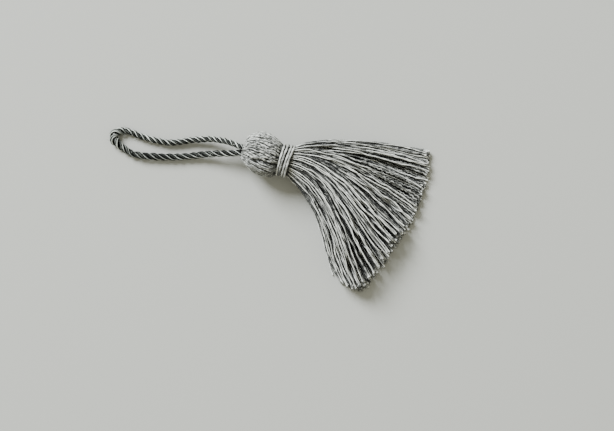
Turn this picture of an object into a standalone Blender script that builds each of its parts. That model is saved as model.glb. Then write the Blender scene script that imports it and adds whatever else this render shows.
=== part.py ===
"""A small tassel lying on its side: a twisted cord loop, a plump yarn head, a neck bound with four
turns of yarn, and a cut yarn skirt that fans out over the surface.

Frame: the origin is on the surface under the widest part of the head. +X runs along the head's axis
from the cord loop to the skirt, and +Z is up. Units are metres.
"""

import math
import random

import bmesh
import bpy
import numpy as np
from mathutils import Vector

MM = 0.001

# ---- driving dimensions ----------------------------------------------------------------------------

AXIS_HEIGHT = 7.3 * MM  # the head's axis above the surface: a little less than its radius, for a flat
NECK_RADIUS = 4.9 * MM
NECK_END_X = 9.2 * MM  # the skirt's yarns leave the neck here
HEAD_TWIST = math.radians(14)  # how far the yarns of the head turn between crown and neck
HEAD_RIB = 0.14 * MM  # how far each rib of yarn on the head stands out or in

HEAD_SECTIONS = (  # (x, radius, y of the section's centre), mm, from the eye to the neck
    (-6.2, 2.55, -0.35),
    (-7.1, 2.65, -0.30),
    (-7.45, 2.95, -0.15),
    (-7.2, 3.65, 0.15),
    (-6.4, 4.60, 0.45),
    (-5.2, 5.75, 0.45),
    (-3.5, 6.90, 0.20),
    (-1.3, 7.60, 0.00),
    (0.9, 7.70, 0.00),
    (2.7, 7.25, -0.05),
    (4.2, 6.45, -0.05),
    (5.05, 5.65, 0.00),
    (5.35, 4.90, 0.00),
)

BINDING_START_X = 5.65 * MM
BINDING_TURNS = 4
BINDING_YARN = 0.92 * MM  # width of one turn
BINDING_BORE = 5.22 * MM
BINDING_VALLEY = 5.68 * MM
BINDING_CREST = 6.02 * MM
BINDING_SIDES = 40
BINDING_POINTS_PER_TURN = 4

CORD_RADIUS = 1.1 * MM  # over the strands' crests
CORD_VALLEY = 0.74 * MM  # to the grooves between them
CORD_STRANDS = 3
CORD_LAY = 6.0 * MM  # length of one full turn of the strands
CORD_STEPS_PER_LAY = 8
ROUTE_STEPS = 12  # points of the smooth route between two of the points below

CORD_ROUTE = (  # (x, y, z) of the cord's centre, mm: out of the head, round the loop and back in
    (-6.5, -1.10, 6.45),
    (-8.6, -1.55, 6.20),
    (-11.8, -2.50, 5.20),
    (-15.9, -3.60, 3.50),
    (-20.8, -5.20, 1.80),
    (-26.0, -7.15, 1.12),
    (-31.1, -8.70, 1.10),
    (-36.1, -9.75, 1.10),
    (-40.7, -10.55, 1.10),
    (-45.1, -10.95, 1.10),
    (-49.2, -10.50, 1.10),
    (-51.1, -9.95, 1.10),
    (-52.4, -8.50, 1.10),
    (-52.8, -6.60, 1.10),
    (-52.1, -4.80, 1.10),
    (-50.5, -3.65, 1.10),
    (-48.5, -3.50, 1.10),
    (-46.4, -3.80, 1.10),
    (-44.1, -4.25, 1.10),
    (-41.4, -4.45, 1.10),
    (-38.2, -4.40, 1.10),
    (-35.1, -4.30, 1.10),
    (-32.2, -3.80, 1.10),
    (-29.4, -2.75, 1.10),
    (-26.4, -1.50, 1.20),
    (-23.0, -0.30, 1.70),
    (-19.7, 0.70, 2.80),
    (-16.3, 1.20, 4.40),
    (-13.0, 1.30, 6.20),
    (-10.2, 1.05, 7.60),
    (-8.2, 0.65, 8.10),
    (-6.5, 0.40, 8.15),
)

YARN_COLUMNS = 12  # yarns across the neck
YARN_ROWS = 12  # yarns from the bottom of the neck to its top
YARN_WIDTH = 0.9 * MM
ROOT_SHARE = 0.64  # share of its cell of the neck's end that a yarn's root fills
YARN_SIDES = 4

STRIDES = 40  # steps in which the skirt is laid out, from the neck to the hem
RINGS = (2, 5, 9, 14, 21, 30, 40)  # the strides at which each yarn has its corners
FULL_WIDTH_AT = 9  # the stride at which the yarns have their full width
DROOP = 0.22 * MM  # how far a yarn comes down at most in one stride
CLEARANCE = 1.2  # distance between the yarns' centres, in widths of a yarn
SETTLING_ROUNDS = 150
SETTLING_RATE = 0.45  # share of an overlap that each of the two yarns gives way in one round
FAN_MARGIN = 0.02  # share of the fan's width kept between its edge and the centre of a yarn
CLUMPS = 9  # places across the fan at which the yarns draw together
CLUMPING = 0.0008  # how far they draw together in one stride, as a share of the fan's width
END_SCATTER = 0.10  # unevenness of the cut ends, as a share of the last stretch of a yarn

FAN_LINES = 33
HEADING_STATIONS = (0.0, 0.15, 0.35, 0.65, 1.0)
FAN_GUIDES = (  # (share across the fan, heading at each station in degrees from +X to +Y, length in mm)
    (0.00, (38, 20, 14, 8, 1), 49.5),
    (0.25, (13, 3, -6, -14, -19), 49.0),
    (0.50, (-2, -13, -23, -30, -33), 47.5),
    (0.75, (-12, -26, -44, -52, -54), 49.5),
    (1.00, (-37, -35, -47, -63, -56), 43.0),
)


# ---- helpers ---------------------------------------------------------------------------------------


def clear_scene():
    for old in list(bpy.data.objects):
        bpy.data.objects.remove(old)


def smooth_step(t):
    t = min(max(t, 0.0), 1.0)
    return t * t * (3 - 2 * t)


def mix(a, b, t):
    return a + (b - a) * t


def catmull_rom(points, steps):
    """Points along the smooth curve through the given points, steps to each stretch."""
    ends = [2 * points[0] - points[1], *points, 2 * points[-1] - points[-2]]
    curve = []
    for p0, p1, p2, p3 in zip(ends, ends[1:], ends[2:], ends[3:]):
        for k in range(steps):
            t = k / steps
            curve.append(
                0.5
                * (
                    2 * p1
                    + (p2 - p0) * t
                    + (2 * p0 - 5 * p1 + 4 * p2 - p3) * t**2
                    + (3 * p1 - p0 - 3 * p2 + p3) * t**3
                )
            )
    return [*curve, points[-1]]


def line_length(line):
    return sum((b - a).length for a, b in zip(line, line[1:]))


def evenly_spaced(line, count):
    """count + 1 points at equal distances along a line."""
    along = [0.0]
    for a, b in zip(line, line[1:]):
        along.append(along[-1] + (b - a).length)
    points = []
    k = 0
    for n in range(count + 1):
        target = along[-1] * n / count
        while k < len(line) - 2 and along[k + 1] < target:
            k += 1
        points.append(line[k].lerp(line[k + 1], (target - along[k]) / (along[k + 1] - along[k])))
    return points


def material(name, colour, roughness):
    made = bpy.data.materials.new(name)
    made.use_nodes = True
    shader = made.node_tree.nodes["Principled BSDF"]
    shader.inputs["Base Color"].default_value = (*colour, 1)
    shader.inputs["Roughness"].default_value = roughness
    shader.inputs["Metallic"].default_value = 0
    return made


def finish_object(name, bm, look):
    """Turns a bmesh into a named, smooth-shaded object."""
    bmesh.ops.recalc_face_normals(bm, faces=bm.faces[:])
    mesh = bpy.data.meshes.new(name)
    bm.to_mesh(mesh)
    bm.free()
    mesh.materials.append(look)
    mesh.shade_smooth()
    mesh.set_sharp_from_angle(angle=math.radians(50))
    made = bpy.data.objects.new(name, mesh)
    bpy.context.scene.collection.objects.link(made)
    return made


# ---- the neck's end: a disc of yarn ends -----------------------------------------------------------


def disc_place(i, j):
    """Where a corner of the neck's grid of cells lies on its round end: (y, height above the axis)."""
    across = 2 * i / YARN_COLUMNS - 1
    up = 2 * j / YARN_ROWS - 1
    y = -across * math.sqrt(1 - up**2 / 2) * NECK_RADIUS
    above = up * math.sqrt(1 - across**2 / 2) * NECK_RADIUS
    return y, above


def disc_rim():
    """The grid's corners round the edge of the neck's end, in order."""
    bottom = [(i, 0) for i in range(YARN_COLUMNS)]
    side = [(YARN_COLUMNS, j) for j in range(YARN_ROWS)]
    top = [(i, YARN_ROWS) for i in range(YARN_COLUMNS, 0, -1)]
    other_side = [(0, j) for j in range(YARN_ROWS, 0, -1)]
    return bottom + side + top + other_side


# ---- the skirt's fan -------------------------------------------------------------------------------


def fan_headings(station):
    """The headings of the fan's lines at a station, 0 at the neck and 1 at the hem."""
    shares = [guide[0] for guide in FAN_GUIDES]
    headings = [np.interp(station, HEADING_STATIONS, guide[1]) for guide in FAN_GUIDES]
    return np.radians(np.interp(np.linspace(0, 1, FAN_LINES), shares, headings))


def lay_out_fan():
    """The fan seen from above: for each stride x, y and the lines' spacing, with a value for each line."""
    shares = np.linspace(0, 1, FAN_LINES)
    guide_shares = [guide[0] for guide in FAN_GUIDES]
    lengths = np.interp(shares, guide_shares, [guide[2] for guide in FAN_GUIDES]) * MM
    x = np.full(FAN_LINES, NECK_END_X)
    y = NECK_RADIUS * (1 - 2 * shares)
    fan = []
    for stride in range(STRIDES + 1):
        heading = fan_headings(stride / STRIDES)
        across_x = np.gradient(x, shares)
        across_y = np.gradient(y, shares)
        spacing = np.abs(across_x * np.sin(heading) - across_y * np.cos(heading))
        fan.append((x, y, spacing))
        heading = fan_headings((stride + 0.5) / STRIDES)
        x = x + lengths / STRIDES * np.cos(heading)
        y = y + lengths / STRIDES * np.sin(heading)
    return fan


def settle(share, height, spacing, width):
    """Moves the yarns that overlap in one cross-section of the skirt apart, above the surface."""
    for _ in range(SETTLING_ROUNDS):
        apart = (share[:, None] - share[None, :]) * (spacing[:, None] + spacing[None, :]) / 2
        above = height[:, None] - height[None, :]
        distance = np.hypot(apart, above) + np.eye(len(share))
        push = np.clip(CLEARANCE * width - distance, 0, None) / distance
        np.fill_diagonal(push, 0)
        share = share + SETTLING_RATE * (push * apart).sum(axis=1) / spacing
        height = height + SETTLING_RATE * (push * above).sum(axis=1)
        share = np.clip(share, FAN_MARGIN, 1 - FAN_MARGIN)
        height = np.maximum(height, width / 2)
    return share, height


def lay_out_yarns(roots, root_width):
    """The yarns' centre points and width at each ring, from where their roots are on the neck's end."""
    share = np.array([0.5 - y / NECK_RADIUS / 2 for y, _ in roots])
    height = np.array([AXIS_HEIGHT + above for _, above in roots])
    lines = np.linspace(0, 1, FAN_LINES)
    rings = []
    for stride, (x, y, spacing) in enumerate(lay_out_fan()):
        if stride > 0:
            width = mix(root_width, YARN_WIDTH, smooth_step(stride / FULL_WIDTH_AT))
            share = share - CLUMPING * np.sin(2 * math.pi * CLUMPS * share)
            height = np.maximum(height - DROOP, width / 2)
            share, height = settle(share, height, np.interp(share, lines, spacing), width)
        if stride in RINGS:
            places = zip(np.interp(share, lines, x), np.interp(share, lines, y), height)
            rings.append(([Vector(place) for place in places], width))
    return rings


def yarn_corners(before, here, after, width):
    """The four corners of a yarn at one point of its line: below, to its right, above, to its left."""
    along = (after - before).normalized()
    side = Vector((0, 0, 1)).cross(along).normalized() * width / 2
    up = along.cross(side)
    return [here - up, here - side, here + up, here + side]


def grow_yarn(bm, face, line, widths):
    """Extrudes one yarn from its face in the neck's end along its line."""
    for k in range(1, len(line)):
        after = line[min(k + 1, len(line) - 1)]
        face = bmesh.ops.extrude_discrete_faces(bm, faces=[face])["faces"][0]
        corners = yarn_corners(line[k - 1], line[k], after, widths[k - 1])
        for vert, corner in zip(face.verts, corners):
            vert.co = corner


# ---- the pieces ------------------------------------------------------------------------------------


def head_skin(bm, rim_verts, rim_angles):
    """The head's ribbed skin, from the neck's rim back to the floor of the eye that holds the cord."""
    first_x = HEAD_SECTIONS[0][0]
    last_x = HEAD_SECTIONS[-1][0]
    ring = rim_verts
    sides = len(ring)
    for x, radius, lean in reversed(HEAD_SECTIONS):
        turn = HEAD_TWIST * (last_x - x) / (last_x - first_x)
        rib = HEAD_RIB * smooth_step((radius * MM - NECK_RADIUS) / (1.5 * MM))
        next_ring = []
        for k, angle in enumerate(rim_angles):
            out = radius * MM + (rib if k % 2 else -rib)
            y = lean * MM + out * math.cos(angle + turn)
            z = AXIS_HEIGHT + out * math.sin(angle + turn)
            next_ring.append(bm.verts.new((x * MM, y, max(z, 0.0))))
        for k in range(sides):
            after = (k + 1) % sides
            bm.faces.new((ring[k], ring[after], next_ring[after], next_ring[k]))
        ring = next_ring
    bm.faces.new(ring)


def root_face(bm, corners):
    """A yarn's root: the face that stands on its corner in a cell of the neck's end."""
    centre = sum((vert.co for vert in corners), Vector()) / YARN_SIDES
    root = []
    for k in range(YARN_SIDES):
        edge_middle = (corners[k].co + corners[(k + 1) % YARN_SIDES].co) / 2
        root.append(bm.verts.new(centre.lerp(edge_middle, ROOT_SHARE)))
    for k in range(YARN_SIDES):
        after = (k + 1) % YARN_SIDES
        bm.faces.new((corners[k], corners[after], root[k]))
        bm.faces.new((corners[after], root[after], root[k]))
    return bm.faces.new(root)


def yarn_bundle(look):
    """Head, neck and skirt: one bundle of yarn, doubled over the cord and bound at the neck."""
    bm = bmesh.new()
    neck = {}
    for i in range(YARN_COLUMNS + 1):
        for j in range(YARN_ROWS + 1):
            y, above = disc_place(i, j)
            neck[i, j] = bm.verts.new((NECK_END_X, y, AXIS_HEIGHT + above))
    rim = disc_rim()
    rim_angles = [math.atan2(above, y) for y, above in (disc_place(i, j) for i, j in rim)]
    head_skin(bm, [neck[place] for place in rim], rim_angles)

    cells = [(i, j) for i in range(YARN_COLUMNS) for j in range(YARN_ROWS)]
    roots = [disc_place(i + 0.5, j + 0.5) for i, j in cells]
    root_width = ROOT_SHARE * 2 * NECK_RADIUS / YARN_COLUMNS
    rings = lay_out_yarns(roots, root_width)
    widths = [width for _, width in rings]
    scatter = random.Random(11)
    for n, (i, j) in enumerate(cells):
        corners = [neck[i, j], neck[i + 1, j], neck[i + 1, j + 1], neck[i, j + 1]]
        y, above = roots[n]
        line = [Vector((NECK_END_X, y, AXIS_HEIGHT + above))] + [places[n] for places, _ in rings]
        line[-1] = line[-2].lerp(line[-1], 1 + scatter.uniform(-1, 1) * END_SCATTER)
        line[-1].z = max(line[-1].z, YARN_WIDTH / 2)
        grow_yarn(bm, root_face(bm, corners), line, widths)
    return finish_object("yarn_bundle", bm, look)


def neck_binding(look):
    """Four turns of yarn round the neck, as one ring with a helical crest for each turn."""
    bm = bmesh.new()
    length = BINDING_TURNS * BINDING_YARN
    rows = BINDING_TURNS * BINDING_POINTS_PER_TURN
    rings = []
    for side in range(BINDING_SIDES):
        angle = 2 * math.pi * side / BINDING_SIDES
        section = []
        for row in range(rows + 1):
            along = length * row / rows
            turn = along / BINDING_YARN - angle / (2 * math.pi)
            crest = abs(math.sin(math.pi * turn))
            edge = smooth_step(4 * min(row, rows - row) / BINDING_POINTS_PER_TURN)
            radius = mix(BINDING_VALLEY, BINDING_CREST, crest * edge)
            section.append((along, radius))
        section.append((length, BINDING_BORE))
        section.append((0.0, BINDING_BORE))
        rings.append(
            [
                bm.verts.new(
                    (
                        BINDING_START_X + along,
                        radius * math.cos(angle),
                        AXIS_HEIGHT + radius * math.sin(angle),
                    )
                )
                for along, radius in section
            ]
        )
    for side, ring in enumerate(rings):
        next_ring = rings[(side + 1) % BINDING_SIDES]
        for k in range(len(ring)):
            after = (k + 1) % len(ring)
            bm.faces.new((ring[k], ring[after], next_ring[after], next_ring[k]))
    return finish_object("neck_binding", bm, look)


def hanging_loop(look):
    """The three-strand cord: a star section that turns as it follows the loop."""
    route = [Vector(point) * MM for point in CORD_ROUTE]
    curve = catmull_rom(route, ROUTE_STEPS)
    for point in curve:
        point.z = max(point.z, CORD_RADIUS)
    rings = round(line_length(curve) / CORD_LAY * CORD_STEPS_PER_LAY)
    line = evenly_spaced(curve, rings)
    bm = bmesh.new()
    sides = 2 * CORD_STRANDS
    side = Vector((0, 0, 1)).cross(line[1] - line[0]).normalized()
    previous = None
    for n, centre in enumerate(line):
        along = (line[min(n + 1, rings)] - line[max(n - 1, 0)]).normalized()
        side = (side - along * side.dot(along)).normalized()
        up = along.cross(side)
        turn = 2 * math.pi * n / CORD_STEPS_PER_LAY
        ring = []
        for k in range(sides):
            angle = turn + 2 * math.pi * k / sides
            radius = CORD_VALLEY if k % 2 else CORD_RADIUS
            ring.append(bm.verts.new(centre + (side * math.cos(angle) + up * math.sin(angle)) * radius))
        if previous:
            for k in range(sides):
                after = (k + 1) % sides
                bm.faces.new((previous[k], previous[after], ring[after], ring[k]))
        else:
            bm.faces.new(ring)
        previous = ring
    bm.faces.new(previous)
    return finish_object("hanging_loop", bm, look)


def main():
    clear_scene()
    yarn = material("silver_grey_yarn", (0.46, 0.48, 0.45), 0.6)
    cord = material("dark_grey_cord", (0.16, 0.17, 0.155), 0.6)
    yarn_bundle(yarn)
    neck_binding(yarn)
    hanging_loop(cord)


main()
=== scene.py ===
import math
import random

import bmesh
import bpy
import numpy as np
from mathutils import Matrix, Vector


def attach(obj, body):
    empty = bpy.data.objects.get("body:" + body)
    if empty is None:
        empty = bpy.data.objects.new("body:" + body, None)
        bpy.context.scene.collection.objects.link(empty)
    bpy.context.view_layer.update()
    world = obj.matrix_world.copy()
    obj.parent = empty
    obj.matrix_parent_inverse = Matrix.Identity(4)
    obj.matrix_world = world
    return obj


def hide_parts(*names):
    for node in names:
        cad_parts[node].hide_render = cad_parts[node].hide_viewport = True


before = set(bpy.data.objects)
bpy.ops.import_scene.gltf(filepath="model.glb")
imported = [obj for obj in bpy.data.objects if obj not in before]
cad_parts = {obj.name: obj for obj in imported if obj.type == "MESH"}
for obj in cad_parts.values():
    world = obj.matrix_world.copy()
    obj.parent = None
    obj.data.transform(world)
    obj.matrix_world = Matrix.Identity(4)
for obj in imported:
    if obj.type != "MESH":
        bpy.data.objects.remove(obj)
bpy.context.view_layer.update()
mm = 0.001
fullTurn = 6.28  # radians, from which phases are drawn

# camera: straight above the tassel, a little turned

cameraValues = {
    "over": (19.9 * mm, -16.6 * mm),
    "height": 700 * mm,
    "frameWidth": 214.9 * mm,  # what the view's width covers on the floor
    "turn": 14.5,  # degrees
    "sensorWidth": 36,
    "clip": (0.05, 5),  # the nearest and the farthest that it sees, m
}


def putInScene(name, data):
    made = bpy.data.objects.new(name, data)
    bpy.context.scene.collection.objects.link(made)
    return made


def placeCamera(v):
    data = bpy.data.cameras.new("camera")
    data.sensor_width = v["sensorWidth"]
    data.lens = data.sensor_width * v["height"] / v["frameWidth"]
    data.clip_start, data.clip_end = v["clip"]
    camera = putInScene("camera", data)
    camera.location = (*v["over"], v["height"])
    camera.rotation_euler = (0, 0, math.radians(v["turn"]))
    bpy.context.scene.camera = camera


placeCamera(cameraValues)
print("camera placed")

# lines and frames that the yarns follow


def smoothStep(t):
    t = np.clip(t, 0, 1)
    return t * t * (3 - 2 * t)


def rise(value, start, over):
    # from 0 to 1, smoothly, while the value goes on so far from the start
    return smoothStep((value - start) / over)


def throughPoints(points, steps):
    p = np.vstack([2 * points[0] - points[1], points, 2 * points[-1] - points[-2]])
    t = (np.arange(steps) / steps)[:, None]
    parts = []
    for a, b, c, d in zip(p, p[1:], p[2:], p[3:]):
        parts.append(0.5 * (2 * b + (c - a) * t + (2 * a - 5 * b + 4 * c - d) * t**2
                            + (3 * b - a - 3 * c + d) * t**3))
    return np.vstack([*parts, points[-1:]])


def lengthsAlong(line):
    return np.concatenate([[0], np.cumsum(np.linalg.norm(np.diff(line, axis=0), axis=1))])


def evenlySpaced(line, step):
    along = lengthsAlong(line)
    count = max(2, round(along[-1] / step))
    at = np.linspace(0, along[-1], count + 1)
    return np.column_stack([np.interp(at, along, line[:, k]) for k in range(3)])


def unit(v):
    return v / np.linalg.norm(v, axis=-1, keepdims=True)


def framesAlong(line):
    tangent = unit(np.gradient(line, axis=0))
    normal = np.zeros_like(line)
    normal[0] = unit(np.cross(np.cross(tangent[0], (0, 0, 1.0)), tangent[0]))
    for k in range(1, len(line)):  # carried along the line without any turn of its own
        n = normal[k - 1] - np.dot(normal[k - 1], tangent[k]) * tangent[k]
        normal[k] = n / np.linalg.norm(n)
    return tangent, normal, np.cross(tangent, normal)


def softNoise(count, waves, draw):
    # smooth noise between about -1 and 1 with so many knots over the line
    knots = [draw.uniform(-1, 1) for _ in range(waves + 3)]
    at = np.linspace(1, waves + 1, count)
    k = np.minimum(at.astype(int), waves + 1)
    t = smoothStep(at - k)
    return np.take(knots, k) * (1 - t) + np.take(knots, np.minimum(k + 1, waves + 2)) * t


# node trees: a spun yarn along each line, and loose fibres standing off it


class treeMaker:
    # makes nodes in a tree and joins them in one call

    def __init__(self, tree):
        self.tree = tree

    def add(self, kind, inputs=None, **options):
        node = self.tree.nodes.new(kind)
        for key, value in options.items():
            setattr(node, key, value)
        for key, value in (inputs or {}).items():
            socket = node.inputs[key]
            if isinstance(value, bpy.types.NodeSocket):
                self.tree.links.new(value, socket)
            else:
                socket.default_value = value
        return node

    def out(self, kind, inputs=None, **options):
        return self.add(kind, inputs, **options).outputs[0]

    def maths(self, operation, *values):
        return self.out("ShaderNodeMath", dict(enumerate(values)), operation=operation)


def newTree(name, kind, inputs, outputs):
    tree = bpy.data.node_groups.new(name, kind)
    for side, sockets in (("OUTPUT", outputs), ("INPUT", inputs)):
        for socket, content in sockets.items():
            tree.interface.new_socket(socket, in_out=side, socket_type="NodeSocket" + content)
    return tree, treeMaker(tree)


def spunYarnTree():
    tree, make = newTree("spunYarn", "GeometryNodeTree", {
        "Geometry": "Geometry", "Plies": "Int", "Lay": "Float", "Groove": "Float", "Sides": "Int",
        "Step": "Float", "Finish": "Material"}, {"Geometry": "Geometry"})
    given = make.add("NodeGroupInput").outputs
    circle = make.out("GeometryNodeCurvePrimitiveCircle", {"Resolution": given["Sides"], "Radius": 1.0})
    factor = make.add("GeometryNodeSplineParameter").outputs["Factor"]
    angle = make.maths("MULTIPLY", factor, 2 * math.pi)
    wave = make.maths("COSINE", make.maths("MULTIPLY", angle, given["Plies"]))
    sunk = make.maths("MULTIPLY", make.maths("MULTIPLY_ADD", wave, -0.5, 0.5), given["Groove"])
    place = make.out("ShaderNodeVectorMath", {
        0: make.out("GeometryNodeInputPosition"), "Scale": make.maths("SUBTRACT", 1.0, sunk)},
        operation="SCALE")
    marked = make.out("GeometryNodeStoreNamedAttribute", {
        "Geometry": circle, "Name": "around", "Value": factor})
    profile = make.out("GeometryNodeSetPosition", {"Geometry": marked, "Position": place})

    curve = make.out("GeometryNodeMeshToCurve", {"Mesh": given["Geometry"]})
    curve = make.out("GeometryNodeResampleCurve", {
        "Curve": curve, "Length": given["Step"]}, mode="LENGTH")
    along = make.add("GeometryNodeSplineParameter").outputs["Length"]
    phase = make.out("GeometryNodeInputNamedAttribute", {"Name": "phase"})
    turns = make.maths("DIVIDE", make.maths("MULTIPLY", along, 2 * math.pi), given["Lay"])
    tilt = make.maths("ADD", turns, phase)
    curve = make.out("GeometryNodeSetCurveTilt", {"Curve": curve, "Tilt": tilt})
    curve = make.out("GeometryNodeStoreNamedAttribute", {
        "Geometry": curve, "Name": "along", "Value": along})
    halfWidth = make.out("GeometryNodeInputNamedAttribute", {"Name": "halfWidth"})
    mesh = make.out("GeometryNodeCurveToMesh", {
        "Curve": curve, "Profile Curve": profile, "Scale": halfWidth, "Fill Caps": True})
    mesh = make.out("GeometryNodeSetShadeSmooth", {"Geometry": mesh, "Shade Smooth": True})
    mesh = make.out("GeometryNodeRealizeInstances", {"Geometry": mesh})
    mesh = make.out("GeometryNodeSetMaterial", {"Geometry": mesh, "Material": given["Finish"]})
    make.add("NodeGroupOutput", {"Geometry": mesh})
    return tree


def lineMesh(name, lines):
    points = np.vstack([line["points"] for line in lines])
    counts = [len(line["points"]) for line in lines]
    starts = np.cumsum([0, *counts[:-1]])
    edges = [(start + k, start + k + 1) for start, n in zip(starts, counts) for k in range(n - 1)]
    mesh = bpy.data.meshes.new(name)
    mesh.from_pydata(points.tolist(), edges, [])
    for key in ("halfWidth", "phase", "tone"):
        values = np.concatenate([np.broadcast_to(line[key], n) for line, n in zip(lines, counts)])
        mesh.attributes.new(key, "FLOAT", "POINT").data.foreach_set("value", values.astype(np.float32))
    return mesh


def applyTree(name, mesh, tree, values, finish):
    # runs a tree on a mesh and keeps the result as one plain mesh
    given = {key.capitalize(): value for key, value in values.items()} | {"Finish": finish}
    source = putInScene(name + "Lines", mesh)
    modifier = source.modifiers.new("nodes", "NODES")
    modifier.node_group = tree
    for item in tree.interface.items_tree:
        if item.in_out == "INPUT" and item.name in given:
            modifier[item.identifier] = given[item.name]
    graph = bpy.context.evaluated_depsgraph_get()
    result = bpy.data.meshes.new_from_object(source.evaluated_get(graph), depsgraph=graph)
    source.modifiers.remove(modifier)
    bpy.data.objects.remove(source)
    result.name = name
    made = putInScene(name, result)
    print(name, "has", sum(len(p.vertices) - 2 for p in result.polygons), "triangles")
    return made


looseFibreValues = {
    "tones": (0.3, 1.0),
    "sizes": (0.4, 1.2),  # shares of the length
    "sides": 3,
    "bend": {  # of a fibre with a length of 1
        "Resolution": 4, "Start": (0, 0, -0.03), "Middle": (0.5, 0.1, 0.16), "End": (0.9, 0.5, 0.24)},
}


def looseFibreTree(v):
    # single fibres that stand off the yarns here and there
    tree, make = newTree("looseFibres", "GeometryNodeTree", {
        "Geometry": "Geometry", "Density": "Float", "Lowest": "Float", "Length": "Float",
        "Thickness": "Float", "Seed": "Int", "Finish": "Material"}, {"Geometry": "Geometry"})
    given = make.add("NodeGroupInput").outputs
    height = make.add("ShaderNodeSeparateXYZ", {0: make.out("GeometryNodeInputPosition")}).outputs[2]
    clear = make.out("FunctionNodeCompare", {0: height, 1: given["Lowest"]}, operation="GREATER_THAN")
    spread = make.add("GeometryNodeDistributePointsOnFaces", {
        "Mesh": given["Geometry"], "Selection": clear, "Density": given["Density"],
        "Seed": given["Seed"]})

    def anyOf(low, high, seed):
        chosen = make.add("FunctionNodeRandomValue", {2: low, 3: high, 8: seed}, data_type="FLOAT")
        return chosen.outputs[1]

    points = make.out("GeometryNodeStoreNamedAttribute", {
        "Geometry": spread.outputs["Points"], "Name": "tone", "Value": anyOf(*v["tones"], 1)})
    bend = make.out("GeometryNodeCurveQuadraticBezier", v["bend"])
    section = make.out("GeometryNodeCurvePrimitiveCircle", {"Resolution": v["sides"], "Radius": 1.0})
    fibre = make.out("GeometryNodeCurveToMesh", {
        "Curve": bend, "Profile Curve": section, "Fill Caps": True,
        "Scale": make.maths("DIVIDE", given["Thickness"], given["Length"])})
    turned = make.out("FunctionNodeAxisAngleToRotation", {
        "Axis": (0, 0, 1), "Angle": anyOf(0, fullTurn, 2)})
    turned = make.out("FunctionNodeRotateRotation", {
        "Rotation": spread.outputs["Rotation"], "Rotate By": turned}, rotation_space="LOCAL")
    size = make.maths("MULTIPLY", given["Length"], anyOf(*v["sizes"], 3))
    placed = make.out("GeometryNodeInstanceOnPoints", {
        "Points": points, "Instance": fibre, "Rotation": turned, "Scale": size})
    mesh = make.out("GeometryNodeRealizeInstances", {"Geometry": placed})
    here = make.add("ShaderNodeSeparateXYZ", {0: make.out("GeometryNodeInputPosition")}).outputs
    lifted = make.out("ShaderNodeCombineXYZ", {
        0: here[0], 1: here[1], 2: make.maths("MAXIMUM", here[2], given["Thickness"])})
    mesh = make.out("GeometryNodeSetPosition", {"Geometry": mesh, "Position": lifted})
    mesh = make.out("GeometryNodeSetMaterial", {"Geometry": mesh, "Material": given["Finish"]})
    make.add("NodeGroupOutput", {"Geometry": mesh})
    return tree


yarnTree = spunYarnTree()
fibreTree = looseFibreTree(looseFibreValues)


def spinYarn(name, lines, values, finish):
    return applyTree(name, lineMesh(name, lines), yarnTree, values, finish)


def looseFibres(name, pieces, values, finish):
    joined = bmesh.new()
    for piece in pieces:
        joined.from_mesh(piece.data)
    mesh = bpy.data.meshes.new(name)
    joined.to_mesh(mesh)
    joined.free()
    return applyTree(name, mesh, fibreTree, values, finish)


# finishes

finishValues = {
    "plies": 2,  # of the fine yarn that each strand is drawn with
    "grooveShape": 2.0,
    "streaksAlong": 1100.0,  # a metre
    "streaksAround": 3.0,
    "streakDetail": 3.0,
    "streakRoughness": 0.6,
    "toneShift": 97.0,  # gives each tone its own streaks
    "roughness": 0.60,
    "roughnessOfStreaks": 0.3,
    # reach and samples of the ambient occlusion that paints shade into crevices
    "paintedShadeReach": 1.2 * mm,
    "paintedShadeSamples": 8,
}

# groove and crevice: how strongly painted shade darkens the grooves between plies and the crevices
yarnValues = {
    "greyYarn": {
        "light": (0.90, 0.93, 0.835), "dark": (0.008, 0.009, 0.008), "lay": 1.3 * mm, "groove": 0.42,
        "streak": 1.15, "crevice": 1.2, "relief": 0.05 * mm, "gloss": 0.3},
    "skirtYarn": {
        "light": (0.90, 0.93, 0.835), "dark": (0.008, 0.009, 0.008), "lay": 1.3 * mm, "groove": 0.36,
        "streak": 1.4, "crevice": 1.6, "relief": 0.05 * mm, "gloss": 0.3},
    "bindingYarn": {
        "light": (0.88, 0.905, 0.815), "dark": (0.010, 0.011, 0.010), "lay": 2.2 * mm, "groove": 0.12,
        "streak": 0.90, "crevice": 1.2, "relief": 0.05 * mm, "gloss": 0.3},
    "charcoalYarn": {
        "light": (0.655, 0.70, 0.615), "dark": (0.003, 0.004, 0.003), "lay": 1.0 * mm, "groove": 0.08,
        "streak": 0.16, "crevice": 1.9, "relief": 0.04 * mm, "gloss": 0.06},
}


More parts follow.
